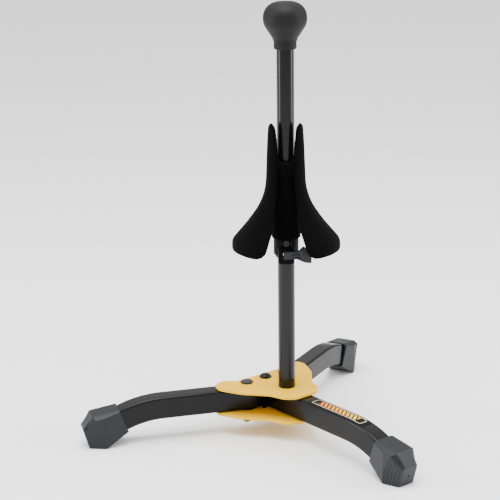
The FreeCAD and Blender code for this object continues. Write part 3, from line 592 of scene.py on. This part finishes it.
def leg(name):
    """Bent tube, slanted at its inner end and open at both."""
    stations = leg_stations(LEG_STARTS[name], LEG_STRAIGHTS[name])
    skin = box_outline(TUBE_WIDTH, TUBE_DEPTH, TUBE_CORNER)
    lining = box_outline(TUBE_WIDTH - 2 * TUBE_WALL, TUBE_DEPTH - 2 * TUBE_WALL,
                         TUBE_CORNER - TUBE_WALL)
    bore_end = (stations[0][0] - BORE_START, 0.0, 0.0)
    tube = sweep(name + "_tube", skin, stations, LEG_SLANTS[name])
    carve(tube, [sweep(name + "_inner", lining, [bore_end] + stations)])
    chamfer(tube, TUBE_EDGE, angle=50.0)
    set_down(tube, LEG_SPOTS[name], LEG_BODIES[name], "leg_paint", [name], sharp=35.0)


# ---------------------------------------------------------------- boots

# side view: x from where the leg's bend starts, z from the floor, y half the width there
MOUTH = Vector((35.0, 10.5, 13.6))
HEEL = Vector((57.5, 14.5, 0.0))
TOE = Vector((72.7, 8.8, 0.0))
NOSE = Vector((78.3, 8.8, 19.9))
CREST = Vector((68.9, 9.2, 32.4))
BRIM = Vector((43.4, 9.2, 36.5))
KNEE_HEIGHT = 13.0
KNEES = (58.4, 76.4)
SHOULDER_SLOPE = 0.52

BOOT_STEPS = 5
TIER_BEVEL = 3.2
FACE_BEVEL = 1.2
TIER_OVERLAP = 0.5
BOOT_PLAY = 0.3

DIMPLE = [(0, -1.0), (1.1, -1.0), (1.1, 3.0), (0, 3.0)]
DIMPLE_SPOT = (75.7, 0, 10.0)
DIMPLE_TURN = 74.0

BLOCK_SIZE = 400.0


def convex(name, planes):
    """What is left of a block after cutting with (point, outward normal) planes."""
    bm = bmesh.new()
    bmesh.ops.create_cube(bm, size=BLOCK_SIZE)
    for point, normal in planes:
        parts = bm.verts[:] + bm.edges[:] + bm.faces[:]
        cut = bmesh.ops.bisect_plane(bm, geom=parts, plane_co=point, plane_no=normal,
                                     clear_outer=True)
        rim = [e for e in cut["geom_cut"] if isinstance(e, bmesh.types.BMEdge)]
        if rim:
            bmesh.ops.contextual_create(bm, geom=rim)
    bmesh.ops.recalc_face_normals(bm, faces=bm.faces)
    mesh = bpy.data.meshes.new(name)
    bm.to_mesh(mesh)
    bm.free()
    return put_in_scene(name, mesh)


def through(x1, z1, x2, z2):
    """Plane across the side view through two points, outward to the right of the way."""
    return ((x1, 0, z1), (z2 - z1, 0, x1 - x2))


def boot_tier(share):
    """One tier of the boot: share 0 is the broad one, share 1 ends in the flat narrow face."""
    half_width = HEEL.y + (NOSE.y - HEEL.y) * share
    tip = CREST.lerp(NOSE, share)
    knee = KNEES[0] + (KNEES[1] - KNEES[0]) * share
    foot = HEEL.x + (TOE.x - HEEL.x) * share
    facet = Vector((CREST.z - NOSE.z, 0, NOSE.x - CREST.x)).normalized()
    fall = (BRIM.z - CREST.z) / (CREST.x - BRIM.x)
    bevel = TIER_BEVEL if share < 1 else FACE_BEVEL
    planes = [
        through(MOUTH.x, MOUTH.z, HEEL.x, 0.0),
        ((0, 0, 0), (0, 0, -1)),
        ((CREST.x, 0, CREST.z), facet),
        through(CREST.x, CREST.z, BRIM.x, BRIM.z),
        through(BRIM.x, BRIM.z, MOUTH.x, MOUTH.z),
    ]
    for side in (-1, 1):
        across = Vector((0, side, 0))
        planes += [
            ((MOUTH.x, MOUTH.y * side, 0), (MOUTH.y - HEEL.y, (HEEL.x - MOUTH.x) * side, 0)),
            ((0, half_width * side, 0), across),
            ((CREST.x, CREST.y * side, CREST.z), (fall, SHOULDER_SLOPE * side, 1.0)),
            ((tip.x, (half_width - bevel) * side, tip.z), facet + across),
        ]
    upper = convex("upper", planes + [((0, 0, KNEE_HEIGHT - TIER_OVERLAP), (0, 0, -1)),
                                      through(knee, KNEE_HEIGHT, tip.x, tip.z)])
    lower = convex("lower", planes + [((0, 0, KNEE_HEIGHT), (0, 0, 1)),
                                      through(foot, 0.0, knee, KNEE_HEIGHT)])
    return [upper, lower]


def boot(leg_name):
    """Stepped rubber boot, bored for the leg, with a moulded dimple in its face."""
    node = leg_name + "_boot"
    straight = LEG_STRAIGHTS[leg_name]
    tiers = [block for k in range(BOOT_STEPS + 1) for block in boot_tier(k / BOOT_STEPS)]
    whole = join(node + "_rubber", tiers)
    mould(whole, rounds=0)
    dimple = lathe("dimple", DIMPLE, DENT_COUNT)
    dimple.data.transform(Matrix.Translation(DIMPLE_SPOT)
                          @ Matrix.Rotation(math.radians(DIMPLE_TURN), 4, "Y"))
    carve(whole, [dimple])
    whole.data.transform(Matrix.Translation((straight, 0, -TUBE_HEIGHT)))
    bore = box_outline(TUBE_WIDTH + 2 * BOOT_PLAY, TUBE_DEPTH + 2 * BOOT_PLAY,
                       TUBE_CORNER + BOOT_PLAY)
    carve(whole, [sweep("bore", bore, leg_stations(0.0, straight))])
    mould(whole, rounds=1)
    set_down(whole, LEG_SPOTS[leg_name], LEG_BODIES[leg_name], "boot_rubber", [node], sharp=None)


# ---------------------------------------------------------------- label

LABEL_START = 38.0
LABEL_TURN = 11.5
LABEL_WIDTH = 12.6
LABEL_THICK = 0.2
LABEL_CORNER = 0.09
LABEL_STEPS = 8


def label():
    """Printed film on the fixed leg's top, over the straight part and into the bend."""
    stations = centre_line(LABEL_START, LEG_STRAIGHTS["fixed_leg"], LABEL_TURN,
                           LABEL_STEPS, LABEL_STEPS)
    section = box_outline(LABEL_WIDTH, LABEL_THICK, LABEL_CORNER,
                          y=TUBE_DEPTH / 2 + LABEL_THICK / 2)
    film = sweep("leg_decal_film", section, stations)
    set_down(film, LEG_SPOTS["fixed_leg"], "base", "decal_print", ["leg_decal"], sharp=30.0)


# ---------------------------------------------------------------- plates and fasteners

# right half of the plate, from the front round to the rear notch
PLATE_HALF = [(19.5, -29.5, 17.0), (26.0, -6.5, 24.0), (44.5, 14.5, 40.0),
              (58.5, 46.5, 12.5), (38.5, 51.6, 5.0), (28.2, 42.0, 7.0)]
PLATE_EDGE = 0.5
POLE_BOLT_HOLE = 4.1
BOLT_HOLE = 3.1

BOLT_COUNT = 64
BOLT_LOW = 9.5
BOLT_RADIUS = 3.0
BOLT_TIP = 0.4

# heads, with heights above the upper plate
RIM_OF_DOME = [(5.7, 0.0), (6.0, 0.25), (6.0, 0.6), (5.75, 0.85)]
DOME_LOW = 0.85
DOME_RADIUS = 5.65
DOME_RISE = 3.05
DOME_STEPS = 12
LOW_HEAD = [(5.6, 0.0), (6.0, 0.4), (6.0, 1.2), (5.8, 1.7), (5.35, 1.95), (4.9, 1.9),
            (4.6, 1.75), (4.3, 1.8), (3.0, 1.95), (1.5, 2.05), (0, 2.1)]


def mirrored(half):
    return half + [(-x, y, radius) for x, y, radius in reversed(half)]


def plate(name, low):
    holes = [circle_outline(POLE_BOLT_HOLE)]
    holes += [circle_outline(BOLT_HOLE, x, PIVOT_BACK) for x in (-PIVOT_SIDE, 0, PIVOT_SIDE)]
    outline = rounded(mirrored(PLATE_HALF), step=3.0)
    piece = slab(name + "_steel", outline, holes, low, low + PLATE_THICK, PLATE_EDGE)
    set_down(piece, PLATE_SPOT, "base", "yellow_paint", [name], sharp=50.0)


def bolt(name, head):
    shank = [(0, BOLT_LOW), (BOLT_RADIUS - BOLT_TIP, BOLT_LOW), (BOLT_RADIUS, BOLT_LOW + BOLT_TIP),
             (BOLT_RADIUS, PLATE_TOP)]
    return lathe(name, shank + raised(head, PLATE_TOP), BOLT_COUNT)


def dome_head():
    """Smooth dome over a thin rim."""
    dome = []
    for k in range(1, DOME_STEPS):
        a = math.radians(90.0 * k / DOME_STEPS)
        dome.append((DOME_RADIUS * math.cos(a), DOME_LOW + DOME_RISE * math.sin(a)))
    return RIM_OF_DOME + dome + [(0, DOME_LOW + DOME_RISE)]


def bolts():
    """The domed rear bolt, and the two pivot bolts with low dished heads."""
    rear = bolt("rear_bolt_body", dome_head())
    set_down(rear, REAR_BOLT_SPOT, "base", "black_bolt", ["rear_bolt"], sharp=45.0)
    pair = []
    for side in (-1, 1):
        one = bolt("pivot_bolt", LOW_HEAD)
        one.data.transform(Matrix.Translation((PIVOT_SIDE * side, PIVOT_BACK, 0)))
        pair.append(one)
    whole = join("pivot_bolt_pair", pair)
    set_down(whole, PLATE_SPOT, "base", "dark_bolt", ["pivot_bolts"], sharp=45.0)


# ---------------------------------------------------------------- pole and knob

POLE_COUNT = 128
POLE_RADIUS = 8.0
POLE_BORE = 6.8
POLE_TOP = 398.0
CRIMP_HEIGHT = 55.0
CRIMP_COUNT = 4
CRIMP = [(0, 6.9), (0.9, 6.9), (1.5, 9.0), (0, 9.0)]

KNOB_HOLLOW = [(0, 398.1), (8.02, 398.1)]
KNOB = [(8.02, 369.8, 0), (10.3, 369.8, 0.9), (10.35, 377.0, 0.3), (10.85, 377.0, 0.5),
        (11.3, 379.1, 4.0), (19.8, 392.1, 14.0), (19.8, 411.3, 13.7), (0, 411.6, 0)]


def pole():
    """Thin tube, crimped at four points onto its foot."""
    section = [(POLE_BORE, PLATE_TOP, 0), (POLE_RADIUS, PLATE_TOP, 0.3),
               (POLE_RADIUS, POLE_TOP, 0.5), (POLE_BORE, POLE_TOP, 0.3)]
    piece = ring_lathe("pole_tube", section, POLE_COUNT)
    dents = []
    for k in range(CRIMP_COUNT):
        dent = lathe("dent", CRIMP, DENT_COUNT)
        dent.data.transform(Matrix.Translation((0, 0, CRIMP_HEIGHT))
                            @ Matrix.Rotation(math.radians(360.0 / CRIMP_COUNT * k), 4, "Z")
                            @ Matrix.Rotation(math.radians(90.0), 4, "Y"))
        dents.append(dent)
    carve(piece, dents)
    set_down(piece, PLATE_SPOT, "base", "pole_paint", ["pole"], sharp=40.0)


def knob():
    profile = KNOB_HOLLOW + rounded(KNOB, step=4.0, closed=False)
    piece = lathe("pole_knob_rubber", profile, POLE_COUNT)
    set_down(piece, PLATE_SPOT, "base", "knob_rubber", ["pole_knob"], sharp=50.0)


# ---------------------------------------------------------------- peg

PETAL_COUNT = 3
PETAL_TURN = 360.0 / PETAL_COUNT
PETAL_WALL = 2.4

# the petals' outside as (radius, height), and half the gap between two as (half gap, height)
SHELL = [(50.4, 185.2, 0), (50.4, 193.0, 9.0), (34.3, 212.2, 130.0), (18.9, 235.2, 60.0),
         (16.2, 304.0, 0)]
GAP = [(36.0, 181.2, 0), (36.0, 184.8, 0), (21.4, 186.2, 12.0), (12.1, 213.0, 14.0),
       (8.4, 251.0, 40.0), (7.5, 276.0, 60.0), (10.2, 300.0, 7.0), (16.4, 306.4, 0)]
SHELL_STEP = 0.6
GAP_STEP = 0.5
PETAL_COLUMNS = 28
RIM_STEPS = 6
LEAST_THICK = 0.05
LEAST_HALF = math.radians(0.6)
LEAST_REACH = math.radians(0.2)

HUB = [(11.7, 195.5, 0.5), (13.4, 195.5, 0.8), (13.4, 257.6, 1.0), (15.6, 257.6, 1.0),
       (15.6, 260.4, 0.8), (15.0, 261.2, 0.6), (16.0, 262.4, 1.0), (16.0, 268.0, 1.4),
       (10.0, 268.0, 0.6), (10.0, 266.0, 0), (11.7, 266.0, 0)]
HUB_RIM_LOW = 265.5
HUB_RIM_LIFT = 4.5
SLOT_FLAT = 8.0
SLOT_CURVE = 20.0
SLOT_ROUNDNESS = 0.99


def evenly(points, step):
    """Points spaced about step apart along a line, ends included."""
    lengths = [0.0]
    for a, b in zip(points, points[1:]):
        lengths.append(lengths[-1] + math.dist(a, b))
    count = int(lengths[-1] / step) + 1
    result = []
    k = 0
    for i in range(count + 1):
        want = lengths[-1] * i / count
        while k < len(points) - 2 and lengths[k + 1] < want:
            k += 1
        share = (want - lengths[k]) / max(lengths[k + 1] - lengths[k], 1e-9)
        result.append(tuple(p + (q - p) * share for p, q in zip(points[k], points[k + 1])))
    return result


def value_at(line, height):
    """x of a line of (x, height) points at a height."""
    for (x1, z1), (x2, z2) in zip(line, line[1:]):
        if z1 <= height <= z2 and z2 > z1:
            return x1 + (x2 - x1) * (height - z1) / (z2 - z1)
    return line[0][0] if height < line[0][1] else line[-1][0]


def petal_rows():
    """(centre, inward, thickness, half angle) of a petal's wall, from the lobe to the tip."""
    gap = evenly(rounded(GAP, step=4.0, closed=False), GAP_STEP)
    line = evenly(rounded(SHELL, step=2.0, closed=False), SHELL_STEP)
    rows = []
    last = len(line) - 1
    for i, (radius, height) in enumerate(line):
        before, after = line[max(i - 1, 0)], line[min(i + 1, last)]
        along = Vector((after[0] - before[0], after[1] - before[1])).normalized()
        inward = Vector((-along.y, along.x))
        if inward.x > 0:
            inward = -inward
        near_end = min(i, last - i) * SHELL_STEP
        share = min(1.0, near_end / (PETAL_WALL / 2))
        fullness = math.sqrt(max(1.0 - (1.0 - share) ** 2, 0.0))
        thick = PETAL_WALL * max(fullness, LEAST_THICK)
        width = min(value_at(gap, height) / radius, 0.999)
        half = math.radians(PETAL_TURN / 2) - math.asin(width)
        centre = Vector((radius, height)) + inward * (PETAL_WALL / 2)
        rows.append((centre, inward, thick, max(half, LEAST_HALF)))
    return rows


def wall_loop():
    """(across, beyond, side) once round a petal's wall: beyond is past its straight width."""
    columns = [2 * k / PETAL_COLUMNS for k in range(PETAL_COLUMNS + 1)]
    turns = [math.pi * k / RIM_STEPS for k in range(1, RIM_STEPS)]
    loop = [(-1 + step, 0.0, -1.0) for step in columns]
    loop += [(1.0, math.sin(a), -math.cos(a)) for a in turns]
    loop += [(1 - step, 0.0, 1.0) for step in columns]
    loop += [(-1.0, -math.sin(a), math.cos(a)) for a in turns]
    return loop


def petal(middle):
    """One petal: closed loops with rounded rims, skinned from the lobe to the tip."""
    loop = wall_loop()
    verts = []
    for centre, inward, thick, half in petal_rows():
        rim = thick / 2 / max(centre.x, 1.0)
        reach = max(half - rim, LEAST_REACH)
        for across, beyond, side in loop:
            angle = middle + across * reach + beyond * rim
            point = centre + inward * (side * thick / 2)
            verts.append((point.x * math.cos(angle), point.x * math.sin(angle), point.y))
    return skin_loops("petal", verts, len(loop))


def raise_rim(hub):
    """Let the hub's top climb towards the leaves, so each slot ends in a round bottom."""
    for vertex in hub.data.vertices:
        if vertex.co.z > HUB_RIM_LOW:
            angle = math.degrees(math.atan2(vertex.co.y, vertex.co.x)) + 90.0
            beside = abs((angle + PETAL_TURN / 2) % PETAL_TURN - PETAL_TURN / 2)
            share = min(max((beside - SLOT_FLAT) / SLOT_CURVE, 0.0), 1.0)
            climb = 1.0 - math.sqrt(1.0 - share * share * SLOT_ROUNDNESS)
            vertex.co.z += HUB_RIM_LIFT * climb


def petals():
    parts = [petal(math.radians(PETAL_TURN * k + 90.0)) for k in range(PETAL_COUNT)]
    hub = ring_lathe("hub", HUB)
    raise_rim(hub)
    whole = join("peg_petals_flock", parts + [hub])
    set_down(whole, PEG_SPOT, "peg", "velvet", ["peg_petals"], sharp=60.0)


# ---------------------------------------------------------------- clamp

COLLAR_BORE = 8.6
COLLAR_TUBE = [(8.6, 176.0, 0), (9.1, 176.0, 0), (11.7, 180.2, 0.8), (11.7, 256.0, 0.4),
               (8.6, 256.0, 0)]
COLLAR_BORE_LOW = 160.0
COLLAR_BORE_HIGH = 270.0
BOSS = [(7.3, 172.5, 3.0), (7.3, 188.0, 2.0), (-7.3, 188.0, 2.0), (-7.3, 172.5, 3.0)]
BOSS_FRONT = 14.2
BOSS_RIB = [(-0.5, 187.0), (0.5, 187.0), (0.5, 195.0), (-0.5, 195.0)]
BOSS_RIB_SIDE = 4.0
BOSS_RIB_DEPTHS = (8.6, 12.6)
SCREW_WAY = 3.2
SCREW_WAY_FRONT = 15.0

# the lever, with heights from the clamp screw's axis and depths from the peg's axis
LEVER = [(-2.6, -3.5, 1.2), (9.5, -3.2, 6.0), (17.0, -6.8, 3.0), (23.2, -7.4, 1.2),
         (23.2, 3.8, 1.2), (15.4, 8.2, 1.6), (10.6, 3.4, 3.0), (-2.6, 3.6, 1.2)]
LEVER_BACK = 14.5
LEVER_ARM_BACK = LEVER_BACK + 0.6
LEVER_FACE = LEVER_BACK + 4.8
LEVER_HUB_RADIUS = 2.5
LEVER_HUB_FRONT = LEVER_BACK + 1.6
LEVER_EDGE = 0.22
GROOVE = dict(width=7.0, height=1.1, radius=0.4, x=9.2)
GROOVE_STEPS = (-1.5, 1.5)
GROOVE_DEPTH = 1.0
RIB_GAP = dict(width=0.8, height=30.0, radius=0.2)
RIB_GAP_COUNT = 4
RIB_GAP_START = 15.9
RIB_GAP_PITCH = 1.5
RIB_GAP_DEPTH = 0.7
CLEAR_OF_FACE = 5.0


def collar():
    """Collar under the petals, with the lever's boss and two ribs melted on, then bored."""
    tube = ring_lathe("collar_tube", COLLAR_TUBE)
    boss = forward_prism("boss", rounded(BOSS), 0.0, BOSS_FRONT)
    ribs = []
    for side in (-BOSS_RIB_SIDE, BOSS_RIB_SIDE):
        outline = [(x + side, height) for x, height in BOSS_RIB]
        ribs.append(forward_prism("rib", outline, *BOSS_RIB_DEPTHS))
    whole = join("clamp_collar_nylon", [tube, boss] + ribs)
    mould(whole, rounds=0)
    bore = lathe("bore", [(0, COLLAR_BORE_LOW), (COLLAR_BORE, COLLAR_BORE_LOW),
                          (COLLAR_BORE, COLLAR_BORE_HIGH), (0, COLLAR_BORE_HIGH)])
    way = forward_prism("way", circle_outline(SCREW_WAY, 0, CLAMP_HEIGHT), 0.0, SCREW_WAY_FRONT)
    carve(whole, [bore, way])
    mould(whole, rounds=2)
    set_down(whole, PEG_SPOT, "peg", "black_plastic", ["clamp_collar"], sharp=None)


def lever():
    """Thumb lever: a bar with two grooves and a broad end crossed by ribs."""
    outline = rounded(raised(LEVER, CLAMP_HEIGHT))
    arm = forward_prism("arm", outline, LEVER_ARM_BACK, LEVER_FACE)
    hub = forward_prism("hub", circle_outline(LEVER_HUB_RADIUS, 0, CLAMP_HEIGHT),
                        LEVER_BACK, LEVER_HUB_FRONT)
    cuts = []
    for step in GROOVE_STEPS:
        cuts.append(forward_prism("groove", box_outline(**GROOVE, y=CLAMP_HEIGHT + step),
                                  LEVER_FACE - GROOVE_DEPTH, LEVER_FACE + CLEAR_OF_FACE))
    for k in range(RIB_GAP_COUNT):
        x = RIB_GAP_START + RIB_GAP_PITCH * k
        cuts.append(forward_prism("rib_gap", box_outline(**RIB_GAP, x=x, y=CLAMP_HEIGHT),
                                  LEVER_FACE - RIB_GAP_DEPTH, LEVER_FACE + CLEAR_OF_FACE))
    carve(arm, [hub], "UNION")
    carve(arm, cuts)
    arm.name = "clamp_lever_nylon"
    chamfer(arm, LEVER_EDGE, angle=40.0)
    set_down(arm, PEG_SPOT, "clamp_lever", "lever_plastic", ["clamp_lever"], sharp=35.0)


for leg_name in LEG_SPOTS:
    leg(leg_name)
    boot(leg_name)
label()
plate("upper_plate", UPPER_PLATE_LOW)
plate("lower_plate", LOWER_PLATE_LOW)
bolts()
pole()
knob()
petals()
collar()
lever()

# pieces whose CAD shape shows as it is, by finish
PLAIN = {
    "black_plastic": ["fixed_leg_plug", "leg_washers", "leg_stops", "left_leg_bush",
                      "right_leg_bush", "clamp_pad"],
    "zinc_steel": ["pole_bolt_sleeve", "rear_bolt_sleeve", "pivot_sleeves", "pole_foot",
                   "pole_bolt_washer", "clamp_screw"],
    "black_bolt": ["cap_nuts", "pole_bolt", "collar_screw"],
    "nylon": ["peg_guide"],
    "brass_insert": ["clamp_nut"],
}
for finish, nodes in PLAIN.items():
    for node in nodes:
        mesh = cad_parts[node].data
        mesh.materials.clear()
        mesh.materials.append(MATERIALS[finish])


# ---------------------------------------------------------------- floor, light, camera

FLOOR_HALF = 6.0
HORIZON_STRENGTH = 0.35
ZENITH_STRENGTH = 2.2

CAMERA_WHERE = (-0.9049, -1.0415, 0.5871)
CAMERA_TARGET = (-0.0268, 0.05355, 0.12406)
CAMERA_LENS = 112.76
CAMERA_SHIFT = 0.12
CAMERA_ROLL = -0.72


def facing(where, target):
    """Rotation that looks from one point at another."""
    return (Vector(target) - Vector(where)).to_track_quat("-Z", "Y")


def floor():
    mesh = bpy.data.meshes.new("floor")
    corners = [(x * FLOOR_HALF, y * FLOOR_HALF, 0) for x, y in ((-1, -1), (1, -1), (1, 1), (-1, 1))]
    mesh.from_pydata(corners, [], [(0, 1, 2, 3)])
    mesh.materials.append(finish_of("paper", colour=(0.93, 0.93, 0.93), tint=(0.92, 0.92, 0.92),
                                    roughness=0.7, spread=0.05))
    put_in_scene("floor", mesh)


def sky():
    """White light that grows stronger from the horizon upwards, and the same downwards."""
    world = bpy.data.worlds.new("studio")
    bpy.context.scene.world = world
    world.use_nodes = True
    tree = world.node_tree
    background = tree.nodes["Background"]
    background.inputs["Color"].default_value = (1, 1, 1, 1)
    place = tree.nodes.new("ShaderNodeTexCoord")
    axes = tree.nodes.new("ShaderNodeSeparateXYZ")
    height = tree.nodes.new("ShaderNodeMath")
    height.operation = "ABSOLUTE"
    rise = tree.nodes.new("ShaderNodeMapRange")
    rise.inputs["To Min"].default_value = HORIZON_STRENGTH
    rise.inputs["To Max"].default_value = ZENITH_STRENGTH
    tree.links.new(place.outputs["Generated"], axes.inputs[0])
    tree.links.new(axes.outputs["Z"], height.inputs[0])
    tree.links.new(height.outputs[0], rise.inputs["Value"])
    tree.links.new(rise.outputs["Result"], background.inputs["Strength"])


def softbox(name, where, aim, width, height, power):
    light = bpy.data.lights.new(name, "AREA")
    light.shape = "RECTANGLE"
    light.size = width
    light.size_y = height
    light.energy = power
    lamp = put_in_scene(name, light)
    lamp.location = where
    lamp.rotation_mode = "QUATERNION"
    lamp.rotation_quaternion = facing(where, aim)


def camera():
    """Seen from the front left, a little above."""
    lens = bpy.data.cameras.new("camera")
    lens.lens = CAMERA_LENS
    lens.sensor_width = 36.0
    lens.shift_y = CAMERA_SHIFT
    lens.clip_start = 0.1
    lens.clip_end = 50.0
    eye = put_in_scene("camera", lens)
    eye.location = CAMERA_WHERE
    eye.rotation_mode = "QUATERNION"
    roll = Matrix.Rotation(math.radians(CAMERA_ROLL), 3, "Z").to_quaternion()
    eye.rotation_quaternion = facing(CAMERA_WHERE, CAMERA_TARGET) @ roll
    bpy.context.scene.camera = eye


floor()
sky()
softbox("top", where=(-0.25, -0.10, 1.7), aim=(0, 0.1, 0.0), width=1.2, height=1.2, power=44.0)
softbox("left", where=(-1.15, 0.80, 0.65), aim=(0, 0, 0.22), width=0.35, height=1.4, power=16.0)
softbox("right", where=(1.00, -0.80, 0.65), aim=(0, 0, 0.22), width=0.35, height=1.4, power=16.0)
camera()
